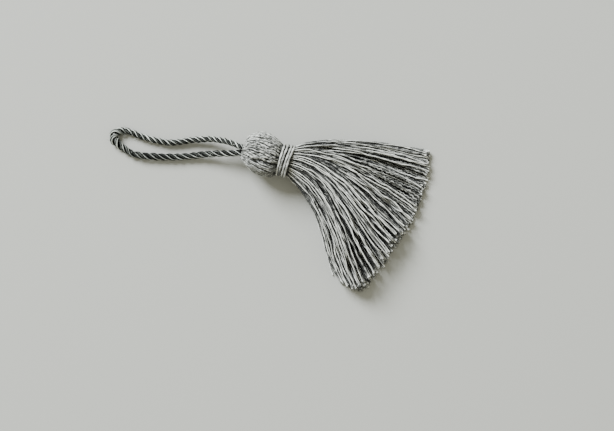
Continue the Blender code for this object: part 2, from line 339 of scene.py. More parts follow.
def spunFibreGroup(v):
    # colour and relief of a fine spun yarn: plies that wind round it, and streaks of fibre along them
    tree, make = newTree("spunFibre", "ShaderNodeTree", {
        "Light": "Color", "Dark": "Color", "Tone": "Float", "Along": "Float", "Around": "Float",
        "Unoccluded": "Float", "Lay": "Float", "Groove": "Float", "Streak": "Float", "Crevice": "Float",
    }, {"Colour": "Color", "Roughness": "Float", "Height": "Float"})
    given = make.add("NodeGroupInput").outputs
    turn = make.maths("MULTIPLY", given["Around"], 2 * math.pi)
    laid = make.maths("DIVIDE", given["Along"], given["Lay"])
    wound = make.maths("MULTIPLY", make.maths("SUBTRACT", given["Around"], laid), 2 * math.pi)
    wave = make.maths("COSINE", make.maths("MULTIPLY", wound, v["plies"]))
    sunk = make.maths("POWER", make.maths("MULTIPLY_ADD", wave, 0.5, 0.5), v["grooveShape"])
    spot = make.out("ShaderNodeCombineXYZ", {
        0: make.maths("MULTIPLY", given["Along"], v["streaksAlong"]),
        1: make.maths("MULTIPLY", make.maths("COSINE", turn), v["streaksAround"]),
        2: make.maths("MULTIPLY_ADD", make.maths("SINE", turn), v["streaksAround"],
                      make.maths("MULTIPLY", given["Tone"], v["toneShift"]))})
    streaks = make.out("ShaderNodeTexNoise", {
        "Vector": spot, "Scale": 1.0, "Detail": v["streakDetail"],
        "Roughness": v["streakRoughness"]})
    streaks = make.maths("MULTIPLY", make.maths("SUBTRACT", streaks, 0.5), given["Streak"])
    # painted shade: the colour darkens in the grooves between the plies
    groove = make.maths("MULTIPLY", sunk, given["Groove"])
    level = make.maths("SUBTRACT", make.maths("ADD", given["Tone"], streaks), groove)
    level = make.out("ShaderNodeClamp", {"Value": level})
    # painted shade: ambient occlusion darkens the colour in crevices, to the power Crevice
    level = make.maths("MULTIPLY", level, make.maths("POWER", given["Unoccluded"], given["Crevice"]))
    colour = make.add("ShaderNodeMix", {"Factor": level}, data_type="RGBA")
    tree.links.new(given["Dark"], colour.inputs[6])
    tree.links.new(given["Light"], colour.inputs[7])
    rough = make.maths("MULTIPLY_ADD", streaks, v["roughnessOfStreaks"], v["roughness"])
    height = make.maths("SUBTRACT", streaks, sunk)
    make.add("NodeGroupOutput", {"Colour": colour.outputs[2], "Roughness": rough, "Height": height})
    return tree


fibreGroup = spunFibreGroup(finishValues)


def newMaterial(name, gloss):
    made = bpy.data.materials.new(name)
    made.use_nodes = True
    shader = made.node_tree.nodes["Principled BSDF"]
    shader.inputs["Specular IOR Level"].default_value = gloss
    return made, shader


def yarnFinish(name, v):
    made, shader = newMaterial(name, v["gloss"])
    make = treeMaker(made.node_tree)
    link = made.node_tree.links.new
    fibre = make.add("ShaderNodeGroup", node_tree=fibreGroup)
    for key in ("tone", "along", "around"):
        read = make.add("ShaderNodeAttribute", attribute_name=key).outputs["Fac"]
        link(read, fibre.inputs[key.capitalize()])
    for key in ("light", "dark"):
        fibre.inputs[key.capitalize()].default_value = (*v[key], 1)
    for key in ("lay", "groove", "streak", "crevice"):
        fibre.inputs[key.capitalize()].default_value = v[key]
    # painted shade in crevices: ambient occlusion over a short reach, read into the colour
    occlusionForShade = make.add("ShaderNodeAmbientOcclusion", {"Distance": finishValues["paintedShadeReach"]},
                         samples=finishValues["paintedShadeSamples"]).outputs["AO"]
    bump = make.out("ShaderNodeBump", {
        "Height": fibre.outputs["Height"], "Strength": 1.0, "Distance": v["relief"]})
    link(occlusionForShade, fibre.inputs["Unoccluded"])
    link(fibre.outputs["Colour"], shader.inputs["Base Color"])
    link(fibre.outputs["Roughness"], shader.inputs["Roughness"])
    link(bump, shader.inputs["Normal"])
    return made


greyYarn, skirtYarn, bindingYarn, charcoalYarn = [yarnFinish(*each) for each in yarnValues.items()]
print("finishes made")

# the cord: three strands laid right-handed, out of the head and back in

cordValues = {
    "diameter": 2.2 * mm,
    "lay": (8.4 * mm, 6.6 * mm),  # of the strands, on the lower leg and on the upper one
    "betweenLegs": (-0.9, 1.9),  # how the lower leg turns into the upper one, from end to end
    "fullness": (  # share of the way, and how far the strands stand apart there
        (0.0, 1.12), (0.24, 1.15), (0.34, 1.30), (0.42, 1.12), (0.455, 1.35), (0.49, 1.85),
        (0.525, 1.5), (0.57, 1.05), (1.0, 1.0)),
    "strands": 3,
    "strandAt": 0.56 * mm,  # from the cord's middle to a strand's
    # in each strand: degrees from its outer side, distance from its middle, half width and tone
    "yarns": (
        (62, 0.37 * mm, 0.21 * mm, 0.84),
        (12, 0.28 * mm, 0.29 * mm, 0.03),
        (-52, 0.30 * mm, 0.28 * mm, 0.08),
        (170, 0.20 * mm, 0.36 * mm, 0.02)),
    "lightFrom": 0.5,  # tone from which a yarn is a light one
    "lightGrows": (0.76, 0.52),  # its width on the lower leg, and what the upper one adds
    # how uneven the yarns are: a size, and its waves from one end of the cord to the other
    "sway": (0.35, 34),  # round the strand's middle, radians
    "shift": (0.25, 30),  # away from it, a share of the distance
    "blotches": (0.5, 40),  # a share of the tone
    "specks": (0.02, 90),  # added to the tone
    "endHighlight": (0.35, 60),  # added to the tone towards the loop's far end: a painted highlight
    "endHighlightAt": (46 * mm, 4 * mm),  # how far out that begins, and over what it grows
    "phases": (0, 6),
    "above": 1.1,  # half widths that a yarn's middle keeps above the surface
    "seed": 3,
    "step": 0.15 * mm,
    "pathStep": 6,
    "spin": {"plies": 2, "lay": 5 * mm, "groove": 0.2, "sides": 6, "step": 0.3 * mm},
    "fibres": {
        "density": 0.16e6, "lowest": 0.9 * mm, "length": 1.5 * mm, "thickness": 0.03 * mm, "seed": 4},
    "route": (  # the cord's middle, mm
        (-6.5, -1.10, 6.45), (-8.6, -1.55, 6.20), (-11.8, -2.50, 5.30), (-15.9, -3.60, 3.85),
        (-20.8, -5.20, 2.45), (-26.0, -7.15, 1.85), (-31.1, -8.70, 1.75), (-36.1, -9.85, 1.75),
        (-40.7, -10.75, 1.70), (-43.2, -10.95, 1.60), (-45.2, -10.86, 1.50), (-46.97, -10.30, 1.40),
        (-48.85, -9.60, 1.40), (-50.6, -8.75, 1.50), (-51.9, -7.80, 1.60), (-52.4, -6.60, 1.60),
        (-52.1, -5.45, 1.60), (-50.95, -4.60, 1.50), (-49.5, -4.10, 1.40), (-48.1, -3.85, 1.40),
        (-46.2, -3.85, 1.40), (-44.1, -4.25, 1.50), (-41.4, -4.45, 1.60), (-38.2, -4.40, 1.70),
        (-35.1, -4.30, 1.70), (-32.2, -3.80, 1.70), (-29.4, -2.75, 1.75), (-26.4, -1.50, 1.95),
        (-23.0, -0.30, 2.35), (-19.7, 0.70, 3.20), (-16.3, 1.20, 4.60), (-13.0, 1.30, 6.20),
        (-10.2, 1.05, 7.60), (-8.2, 0.65, 8.10), (-6.5, 0.40, 8.15)),
}


def makeCord(v):
    middle = throughPoints(np.array(v["route"]) * mm, 12)
    middle[:, 2] = np.maximum(middle[:, 2], v["diameter"] / 2)
    middle = evenlySpaced(middle, v["step"])
    count = len(middle)
    draw = random.Random(v["seed"])

    def uneven(key):
        size, waves = v[key]
        return size * softNoise(count, waves, draw)

    leg = smoothStep(np.linspace(*v["betweenLegs"], count))
    lay = v["lay"][0] + (v["lay"][1] - v["lay"][0]) * leg
    fullness = np.interp(np.linspace(0, 1, count), *np.transpose(v["fullness"]))
    endHighlight = rise(-middle[:, 0], *v["endHighlightAt"])
    turns = 2 * math.pi * np.cumsum(v["step"] / lay)
    _, normal, across = framesAlong(middle)
    lines = []
    for strand in range(v["strands"]):
        angle = turns + 2 * math.pi * strand / v["strands"]
        outward = np.cos(angle)[:, None] * normal + np.sin(angle)[:, None] * across
        beside = -np.sin(angle)[:, None] * normal + np.cos(angle)[:, None] * across
        for place, out, halfWidth, tone in v["yarns"]:
            sway = np.radians(place) + uneven("sway")
            reach = out * (1 + uneven("shift"))
            side = np.cos(sway)[:, None] * outward + np.sin(sway)[:, None] * beside
            line = middle + (fullness * v["strandAt"])[:, None] * outward
            line = line + (fullness * reach)[:, None] * side
            line[:, 2] = np.maximum(line[:, 2], v["above"] * halfWidth)
            tones = tone * (1 + uneven("blotches")) + uneven("specks")
            # painted highlight towards the loop's far end
            tones = tones + endHighlight * np.clip(uneven("endHighlight"), 0, None)
            if tone > v["lightFrom"]:
                halfWidth = halfWidth * (v["lightGrows"][0] + v["lightGrows"][1] * leg)
            lines.append({"points": line, "halfWidth": halfWidth,
                          "phase": draw.uniform(*v["phases"]), "tone": tones})
    cord = spinYarn("hangingCord", lines, v["spin"], charcoalYarn)
    fibres = looseFibres("cordFibres", [cord], v["fibres"], charcoalYarn)
    for piece in (cord, fibres):
        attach(piece, "root")
        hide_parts("hanging_loop")


makeCord(cordValues)
print("cord laid")

# the skirt: cut yarns that fan out from the neck and settle on each other

bundle = {
    "axisHeight": 7.3 * mm,
    "neckRadius": 4.9 * mm,
    "neckEnd": 9.2 * mm,
}

skirtValues = {
    "columns": 23,
    "rows": 15,
    "outerRows": 3,
    "width": 0.82 * mm,  # room that a yarn takes up
    "sizes": (0.82, 1.18),  # of single yarns, shares of it
    "drawn": (  # share of the length, and how much of its room the yarn itself fills there
        (0.0, 0.86), (0.2, 0.62), (0.8, 0.62), (1.0, 0.80)),
    "insideNeck": 7.4 * mm,  # x where the yarns begin
    "strides": 60,  # steps from the neck to the hem
    "usualLength": 48 * mm,
    "fullWidthAt": 0.45,  # share of the length
    "droop": (  # share across the fan, and how far the yarns sink at each stride
        (0.0, 0.165 * mm), (0.2, 0.15 * mm), (0.35, 0.11 * mm), (0.5, 0.06 * mm),
        (0.75, 0.055 * mm), (0.88, 0.10 * mm), (1.0, 0.16 * mm)),
    "settlingRounds": 80,
    "settlingRate": 0.4,
    "settledAt": 0.02,
    "margin": 0.012,  # share of the fan that stays free at each edge
    "meander": {"reach": 0.7 * mm, "waves": 3, "spread": 0.55, "turns": 0.75, "grown": 0.35},
    "upperFrom": (0.35, 0.3),  # share of the neck's height where upper yarns begin, and over what
    "locks": (15, 25),  # in the lower yarns and in the upper ones
    "lockPull": (0.0006, 0.0024),
    "lockWaver": 0.024,
    "lockGrown": 0.2,  # share of the length
    "lockAcross": (0.3, 0.2, 0.25),  # their strength at the fan's first edge, and where it is full
    "over": {  # single strands that lie across the others
        "strands": 36, "halfWidth": 0.24 * mm, "scatter": 0.4, "crossing": 0.05, "edge": 0.03,
        "swayEdge": 0.02, "sway": 0.012, "swayWaves": 5, "rises": (0.08, 0.5), "risesOver": 0.12,
        "hidden": 1.3 * mm, "pressed": 0.08 * mm},
    "lively": {
        "step": 0.3 * mm, "grown": 6 * mm, "wave": 3.0 * mm, "swing": 0.20 * mm, "lift": 0.12 * mm},
    "crimp": {  # the wavy yarns at the fan's first edge
        "share": 0.34, "fade": 0.08, "edge": (0.035, 0.04), "along": (0.42, 0.15),
        "size": 0.17 * mm, "length": 1.7 * mm, "lift": 0.3, "scatter": 0.9, "waves": 6},
    "endScatter": 0.55 * mm,
    "endMean": -0.1,
    "hemSlope": 0.24,  # the upper yarns end a little before the lower ones
    "hemOut": 0.9 * mm,  # and all of them so much later
    "longest": 1.5 * mm,  # past the guides' ends
    "cutLength": 0.9 * mm,
    "cutWider": 0.20,
    "above": 1.02,  # half widths that a yarn's middle keeps above the surface
    "darkShare": (0.19, 0.45),  # of the outer yarns and of those inside, a darker grey than the rest
    "darkEdge": 0.40,  # how many more of them in the last columns
    "edgeColumns": 5,
    "furrow": (2, 3),  # an upper yarn in so many lies deeper in the neck, and is dark: painted shade for its depth
    "furrowDepth": 0.60 * mm,
    "shadeFrom": (0.08, 0.65),  # depth below the yarns beside it, in widths, and over what it shades
    "shadeReach": 0.6,
    "tones": {
        "light": (0.60, 1.35),
        "dark": (0.10, 0.28),
        "darkGains": (0.06, 0.48),
        "darkFade": (0.15, 0.35),  # share of the length where they gain that, and over what
        "lowEdge": (0.60, 0.12),  # share of the fan where the last yarns begin, and over what
        "lowEdgeAlong": (0.15, 0.25),
        "lowEdgeDarker": 0.38,
        "over": (0.6, 1.0),
        "stray": 0.9,
        "crimped": 0.7,  # the crimped yarns are drawn towards this
        "crimpedDarker": 0.49,
        "lightFrom": 0.5,
        "neck": 14 * mm,  # the light yarns are lighter up to there
        "neckLighter": 0.34,
        "shade": 0.84,
        "shadeLessInNeck": 0.34,
        "hem": 4.5 * mm,  # light reaches in there
        "shadeLessAtHem": 0.35,
        "noise": (0.28, 0.14),  # everywhere, and added in the neck
        "noiseWave": 1.1 * mm,
        "outOfBindingShadow": (0.4 * mm, 0.9 * mm),  # past the neck's end, where the binding's painted shadow ends, and over what
        "darkestInBindingShadow": 0.08,
        "cut": (0.30, 0.80, 1.25),  # one of these at each cut end: painted light and shade on its cut face
        "between": (0.02, 1.35),
    },
    "strays": (  # routes of strands that lie by themselves, mm
        ((8.0, -3.0, 6.5), (13.0, -6.0, 4.6), (20.1, -12.0, 2.0), (24.2, -18.0, 0.5),
         (26.1, -21.1, 0.3), (29.2, -26.7, 0.3), (31.3, -30.4, 0.3), (33.3, -33.3, 0.3)),
        ((30.3, -24.6, 2.2), (34.9, -29.6, 2.6), (38.1, -32.9, 2.2), (40.8, -34.7, 1.2),
         (43.1, -36.3, 0.5), (44.8, -37.3, 0.3))),
    "strayStep": 0.8 * mm,
    "partings": (  # x, y of the middle and length, mm: gaps in the upper yarns, which close again
        (23.4, -11.9, 7.0), (26.5, -16.8, 6.5), (36.9, -24.5, 6.0), (21.0, 7.9, 9.1), (31.1, 6.7, 5.0),
        (23.0, -7.0, 5.5), (29.7, -4.7, 6.0), (39.2, -8.9, 6.0), (41.9, -21.8, 5.0), (39.4, -30.5, 6.0),
        (44.2, -14.8, 6.2), (29.6, -20.6, 6.7), (53.2, -1.9, 6.0), (34.6, 2.2, 5.5), (37.3, -16.6, 5.7),
        (31.9, -12.6, 6.3), (50.0, -15.5, 6.5), (25.7, 3.5, 6.9), (52.6, -6.0, 5.7), (43.1, -3.0, 5.7),
        (34.2, -27.2, 6.3)),
    "partedFrom": (0.40, 0.15),  # share of the neck's height where they open, and over what
    "partingReach": 1.5 * mm,
    "partingWidth": 0.66 * mm,
    "seed": 5,
    "lines": 49,
    "stations": (0.0, 0.15, 0.35, 0.65, 1.0),
    # share across the fan, start across the neck, headings at the stations in degrees, length in mm
    "guides": (
        (0.00, 1.00, (41, 23, 15, 9, 3), 47.7),
        (0.25, 0.66, (17, 6, -8, -16, -21), 48.3),
        (0.50, 0.26, (12, -8, -28, -36, -34), 48.3),
        (0.75, -0.32, (-2, -24, -48, -55, -52), 51.4),
        (0.88, -0.66, (-18, -30, -47, -60, -49), 47.7),
        (1.00, -1.00, (-36, -32, -45, -66, -42), 41.5)),
    "spin": {"plies": 2, "lay": 7 * mm, "groove": 0.30, "sides": 6, "step": 0.45 * mm},
    "fibres": {
        "density": 0.03e6, "lowest": 1.0 * mm, "length": 1.6 * mm, "thickness": 0.025 * mm, "seed": 6},
    "frayed": {  # loose fibres at each cut end; reach and half widths in mm
        "count": 3, "points": 5, "back": 0.25 * mm, "tilt": 0.3, "lean": (0.1, 0.55),
        "reach": (0.35, 0.9), "out": 0.6, "curve": 0.9 * mm, "lowest": 0.06 * mm,
        "halfWidths": (0.055, 0.03), "lighter": 0.2},
    "frayedSpin": {"plies": 1, "lay": 7 * mm, "groove": 0.0, "sides": 3, "step": 0.3 * mm},
}


def layOutFan(v):
    shares = np.linspace(0, 1, v["lines"])
    guideShares = [g[0] for g in v["guides"]]
    lengths = np.interp(shares, guideShares, [g[3] for g in v["guides"]]) * mm

    def headings(station):
        at = [np.interp(station, v["stations"], g[2]) for g in v["guides"]]
        return np.radians(np.interp(shares, guideShares, at))

    x = np.full(v["lines"], bundle["neckEnd"])
    y = bundle["neckRadius"] * np.interp(shares, guideShares, [g[1] for g in v["guides"]])
    fan = []
    for stride in range(v["strides"] + 1):
        heading = headings(stride / v["strides"])
        changeX, changeY = np.gradient(x, shares), np.gradient(y, shares)
        spacing = np.abs(changeX * np.sin(heading) - changeY * np.cos(heading))
        fan.append((x, y, spacing))
        heading = headings((stride + 0.5) / v["strides"])
        x = x + lengths / v["strides"] * np.cos(heading)
        y = y + lengths / v["strides"] * np.sin(heading)
    return fan


def settle(share, height, spacing, width, v):
    need = (width[:, None] + width[None, :]) / 2
    near = (spacing[:, None] + spacing[None, :]) / 2
    for _ in range(v["settlingRounds"]):
        apart = (share[:, None] - share[None, :]) * near
        above = height[:, None] - height[None, :]
        distance = np.hypot(apart, above) + np.eye(len(share))
        push = np.clip(need - distance, 0, None) / distance
        np.fill_diagonal(push, 0)
        if push.max() < v["settledAt"]:
            break
        share = share + v["settlingRate"] * (push * apart).sum(axis=1) / spacing
        height = height + v["settlingRate"] * (push * above).sum(axis=1)
        share = np.clip(share, v["margin"], 1 - v["margin"])
        height = np.maximum(height, width / 2)
    return share, height


def neckPlaces(columns, rows):
    places = []
    for i in range(columns):
        for j in range(rows):
            across = 2 * (i + 0.5) / columns - 1
            up = 2 * (j + 0.5) / rows - 1
            y = -across * math.sqrt(1 - up**2 / 2) * bundle["neckRadius"]
            above = up * math.sqrt(1 - across**2 / 2) * bundle["neckRadius"]
            places.append((y, above))
    return np.array(places)


def wander(count, stations, draw, m):
    # sideways drift of each yarn, from none at the neck
    t = np.linspace(0, 1, stations)
    drift = np.zeros((stations, count))
    for k in range(1, m["waves"] + 1):
        phase = draw.uniform(0, 2 * math.pi, count)
        size = draw.normal(0, m["spread"] / k, count)
        drift += size * (np.sin(2 * math.pi * m["turns"] * k * t[:, None] + phase) - np.sin(phase))
    return drift * rise(t, 0, m["grown"])[:, None] * m["reach"]


def placePartings(fan, v):
    # the share and the part of the way at which each parting's middle lies
    lines = np.linspace(0, 1, v["lines"])
    x, y = np.array([f[0] for f in fan]), np.array([f[1] for f in fan])
    places = []
    for px, py, length in v["partings"]:
        stride, line = np.unravel_index(np.argmin(np.hypot(x - px * mm, y - py * mm)), x.shape)
        places.append((lines[line], stride / v["strides"], length * mm / 2 / v["usualLength"]))
    return places


def drawnApart(share, here, t, partings, parted, v):
    # opens each parting up to its middle and closes it again
    for middle, when, half in partings:
        now, before = [max(0.0, 1 - ((at - when) / half) ** 2) for at in (t, t - 1 / v["strides"])]
        off = (share - middle) * here
        near = np.exp(-(off / v["partingReach"]) ** 2) * np.sign(off) * parted
        share = share + near * v["partingWidth"] * (now - before) / here
    return share


def drawnTogether(share, t, rank, phases, v):
    # gathers the yarns into locks of uneven width
    upper = rise(rank, *v["upperFrom"])
    locks = np.where(rank > 0.5, v["locks"][1], v["locks"][0])
    waver = sum(v["lockWaver"] / (k + 1)
                * np.sin((k + 2) * 2 * math.pi * share + phase + (2 + k) * t)
                for k, phase in enumerate(phases))
    least, start, over = v["lockAcross"]
    pull = v["lockPull"][0] + (v["lockPull"][1] - v["lockPull"][0]) * upper
    pull = pull * rise(t, 0, v["lockGrown"]) * (least + (1 - least) * rise(share, start, over))
    return share - pull * np.sin(2 * math.pi * locks * (share + waver))


def laySkirt(v):
    # every yarn at each stride (x, y, z, half width, shade, share across), and which are dark
    draw = np.random.default_rng(v["seed"])
    places = neckPlaces(v["columns"], v["rows"])
    count = len(places)
    column, row = np.divmod(np.arange(count), v["rows"])
    outer = row >= v["rows"] - v["outerRows"]
    sunken = np.cumsum(draw.integers(v["furrow"][0], v["furrow"][1] + 1, v["columns"]))
    furrow = outer & np.isin(column, sunken)
    share = 0.5 - places[:, 0] / bundle["neckRadius"] / 2
    height = bundle["axisHeight"] + places[:, 1] - v["furrowDepth"] * furrow
    rank = (places[:, 1] / bundle["neckRadius"] + 1) / 2
    rootWidth = 2 * bundle["neckRadius"] / v["columns"]
    size = draw.uniform(*v["sizes"], count)
    fan = layOutFan(v)
    lines = np.linspace(0, 1, v["lines"])
    drift = wander(count, v["strides"] + 1, draw, v["meander"])
    lockPhases = draw.uniform(0, 2 * math.pi, 3)
    partings = placePartings(fan, v)
    parted = rise(rank, *v["partedFrom"])
    path = []
    for stride, (x, y, spacing) in enumerate(fan):
        t = stride / v["strides"]
        width = size * (rootWidth + (v["width"] - rootWidth) * rise(t, 0, v["fullWidthAt"]))
        if stride:
            here = np.interp(share, lines, spacing)
            share = share + (drift[stride] - drift[stride - 1]) / here
            share = drawnTogether(share, t, rank, lockPhases, v)
            share = drawnApart(share, here, t, partings, parted, v)
            share = np.clip(share, v["margin"], 1 - v["margin"])
            height = np.maximum(height - np.interp(share, *np.transpose(v["droop"])), width / 2)
            share, height = settle(share, height, np.interp(share, lines, spacing), width, v)
        here = np.interp(share, lines, spacing)
        apart = np.abs((share[:, None] - share[None, :]) * here[:, None])
        beside = apart < v["shadeReach"] * v["width"]
        depth = np.where(beside, height[None, :], -1).max(axis=1) - height
        shade = rise(depth / v["width"], *v["shadeFrom"])
        drawn = np.interp(t, *np.transpose(v["drawn"]))
        drawn = drawn + (1 - drawn) * smoothStep(shade * 2 - 1)  # yarns below the others fill theirs
        path.append(np.column_stack([np.interp(share, lines, x), np.interp(share, lines, y),
                                     height, drawn * width / 2, shade, share]))
    lastColumns = column >= v["columns"] - v["edgeColumns"]
    darkShare = np.where(outer, *v["darkShare"]) + v["darkEdge"] * lastColumns
    return np.array(path), furrow | (draw.random(count) < darkShare)


def layOver(path, v):
    # the strands that lie across the settled yarns
    draw = random.Random(v["seed"] + 1)
    fan = layOutFan(v)
    lines = np.linspace(0, 1, v["lines"])
    over = v["over"]
    made = []
    for n in range(over["strands"]):
        start = (n + 0.5 + draw.uniform(-over["scatter"], over["scatter"])) / over["strands"]
        end = start + draw.uniform(-over["crossing"], over["crossing"])
        end = min(max(end, over["edge"]), 1 - over["edge"])
        sway = softNoise(len(fan), over["swayWaves"], draw) * over["sway"]
        rises = draw.uniform(*over["rises"])
        points = []
        for stride, (x, y, spacing) in enumerate(fan):
            t = stride / (len(fan) - 1)
            share = start + (end - start) * smoothStep(t) + sway[stride] * t
            share = min(max(share, over["swayEdge"]), 1 - over["swayEdge"])
            near = path[stride]
            reach = near[:, 3] + over["halfWidth"]
            off = np.abs(near[:, 5] - share) * np.interp(share, lines, spacing)
            top = near[:, 2] + np.sqrt(np.clip(reach**2 - off**2, 0, None))
            height = top[off < reach].max() if (off < reach).any() else over["halfWidth"]
            hidden = over["hidden"] * (1 - rise(t, rises, over["risesOver"]))
            points.append((np.interp(share, lines, x), np.interp(share, lines, y),
                           height - hidden - over["pressed"]))
        made.append(softened(np.array(points), 4))
    return made


def softened(values, rounds=2):
    # evens a line out along its length, with the ends kept
    for _ in range(rounds):
        values[1:-1] = 0.25 * values[:-2] + 0.5 * values[1:-1] + 0.25 * values[2:]
    return values


def livelier(points, tracks, draw, v):
    # the small waves of a soft yarn, finer than the steps in which the skirt is laid
    lively, crimp = v["lively"], v["crimp"]
    along = lengthsAlong(points)
    fine = np.linspace(0, along[-1], int(along[-1] / lively["step"]) + 1)
    points = np.column_stack([np.interp(fine, along, points[:, k]) for k in range(3)])
    points = softened(points, 4)
    halfWidth, shade, crimped, tone = (np.interp(fine, along, track) for track in tracks)
    side = unit(np.cross((0, 0, 1.0), unit(np.gradient(points, axis=0))))
    grow = rise(fine, 0, lively["grown"])
    waves = max(3, int(along[-1] / lively["wave"]))
    swing = lively["swing"] * grow * softNoise(len(fine), waves, draw)
    lift = lively["lift"] * grow * softNoise(len(fine), waves, draw)
    beat = 2 * math.pi * fine / crimp["length"] + draw.uniform(-crimp["scatter"], crimp["scatter"])
    beat = beat + softNoise(len(fine), crimp["waves"], draw)
    swing = swing + crimp["size"] * crimped * np.sin(beat)
    lift = lift + crimp["lift"] * crimp["size"] * crimped * np.cos(beat)
    points = points + side * swing[:, None]
    points[:, 2] = np.maximum(points[:, 2] + lift, halfWidth)
    return points, (halfWidth, shade, crimped, tone)


def cutToLength(points, change):
    end = unit(points[-1] - points[-3])
    if change > 0:
        return np.vstack([points, points[-1] + end * change])
    along = lengthsAlong(points)
    return points[along < along[-1] + change]


def padded(values, count):
    return np.append(values[:count], np.full(max(0, count - len(values)), values[-1]))


def fray(points, halfWidth, tone, draw, f):
    # a few single fibres that stand out of a cut end
    along = unit(points[-1] - points[-4])
    end = points[-1] - along * f["back"]
    made = []
    for _ in range(f["count"]):
        turn, lean = draw.uniform(0, fullTurn), draw.uniform(*f["lean"])
        side = unit(np.cross(along, (math.cos(turn), math.sin(turn), f["tilt"])))
        reach = np.linspace(0, draw.uniform(*f["reach"]) * mm, f["points"])[:, None]
        line = end + side * f["out"] * halfWidth + along * reach + side * lean * reach**2 / f["curve"]
        line[:, 2] = np.maximum(line[:, 2], f["lowest"])
        made.append({"points": line, "halfWidth": np.linspace(*f["halfWidths"], f["points"]) * mm,
                     "phase": 0.0, "tone": np.full(f["points"], min(1.0, tone + f["lighter"]))})
    return made


def allYarns(v, draw):
    # of each: its points, its tracks (half width, shade, crimp, tone) and whether the neck holds it
    path, darkYarns = laySkirt(v)
    t = np.linspace(0, 1, path.shape[0])
    crimp, tones = v["crimp"], v["tones"]
    yarns = []
    for yarn in range(path.shape[1]):
        halfWidth, shade, share = path[:, yarn, 3:].T
        crimped = rise(crimp["share"] - share, 0, crimp["fade"]) * rise(share, *crimp["edge"])
        crimped = crimped * rise(t, *crimp["along"])
        points = softened(path[:, yarn, :3].copy(), 3)
        tone = np.full(len(t), draw.uniform(*tones["light"]))
        if darkYarns[yarn]:
            dark = draw.uniform(*tones["dark"])
            tone = dark + draw.uniform(*tones["darkGains"]) * rise(t, *tones["darkFade"])
        lowEdge = rise(share, *tones["lowEdge"]) * rise(t, *tones["lowEdgeAlong"])
        tone = tone * (1 - tones["lowEdgeDarker"] * lowEdge)
        yarns.append((points, (halfWidth, shade, crimped, tone), True))
    single = [(points, draw.uniform(*tones["over"])) for points in layOver(path, v)]
    for route in v["strays"]:
        points = evenlySpaced(throughPoints(np.array(route) * mm, 8), v["strayStep"])
        single.append((points, tones["stray"]))
    for points, tone in single:
        flat = np.zeros(len(points))
        yarns.append((points, (flat + v["over"]["halfWidth"], flat, flat, flat + tone), False))
    return yarns


def toneAlong(points, shade, crimped, tone, left, draw, c):
    # a yarn's own tone, lighter in the neck, with painted shade below other yarns and a painted shadow
    # by the binding
    length = lengthsAlong(points)
    outOfBindingShadow = rise(points[:, 0] - bundle["neckEnd"], *c["outOfBindingShadow"])
    inNeck = 1 - rise(length, 0, c["neck"])
    half = 0.5 * crimped
    # painted shade below other yarns, less on crimped yarns and towards the hem
    shade = shade * (1 - half) * (1 - c["shadeLessAtHem"] * smoothStep(1 - left / c["hem"]))
    along = tone + (c["crimped"] - tone) * half
    along = along + c["neckLighter"] * inNeck * (tone > c["lightFrom"])
    along = along * (1 - c["crimpedDarker"] * crimped)
    along = along * (1 - (c["shade"] - c["shadeLessInNeck"] * inNeck) * shade)
    waves = max(4, int(length[-1] / c["noiseWave"]))
    along = along + (c["noise"][0] + c["noise"][1] * inNeck) * softNoise(len(points), waves, draw)
    # painted shadow of the binding on the yarns' roots
    return along * (c["darkestInBindingShadow"] + (1 - c["darkestInBindingShadow"]) * outOfBindingShadow)


def makeSkirt(v):
    draw = random.Random(v["seed"])
    lines, ends = [], []
    for points, tracks, rooted in allYarns(v, draw):
        side = float(np.mean(points[:, 1]))
        points, tracks = livelier(points, tracks, draw, v)
        shorter = v["hemSlope"] * points[-1, 2] - v["hemOut"]
        change = draw.gauss(v["endMean"], 1) * v["endScatter"] - shorter
        points = cutToLength(points, min(change, v["longest"]))
        tracks = [padded(values, len(points)) for values in tracks]
        if rooted:
            root = np.array([v["insideNeck"], points[0, 1], points[0, 2]])
            points = np.vstack([root, points])
            tracks = [np.append(values[0], values) for values in tracks]
        halfWidth, shade, crimped, tone = tracks
        left = lengthsAlong(points)[-1] - lengthsAlong(points)
        cut = smoothStep(1 - left / v["cutLength"])
        halfWidth = halfWidth * (1 + v["cutWider"] * cut)
        points[:, 2] = np.maximum(points[:, 2], halfWidth * v["above"])
        tone = toneAlong(points, shade, crimped, tone, left, draw, v["tones"])
        # painted light and shade on the cut face: one tone drawn for each end
        tone = tone * (1 - cut) + draw.choice(v["tones"]["cut"]) * cut
        ends += fray(points, halfWidth[-1], tone[-1], draw, v["frayed"])
        lines.append((side, {"points": points, "halfWidth": halfWidth,
                             "phase": draw.uniform(0, fullTurn),
                             "tone": np.clip(tone, *v["tones"]["between"])}))
    lines = [line for _, line in sorted(lines, key=lambda pair: pair[0])]
    third = math.ceil(len(lines) / 3)
    made = [spinYarn("skirtYarns" + letter, lines[part * third:(part + 1) * third], v["spin"], skirtYarn)
            for part, letter in enumerate("ABC")]
    made.append(looseFibres("skirtFibres", made, v["fibres"], skirtYarn))
    made.append(spinYarn("frayedEnds", ends, v["frayedSpin"], skirtYarn))
    for skirt in made:
        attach(skirt, "root")
        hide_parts("yarn_bundle")


makeSkirt(skirtValues)
print("skirt laid")

# the head: yarns drawn over the knot, from the eye for the cord to the neck

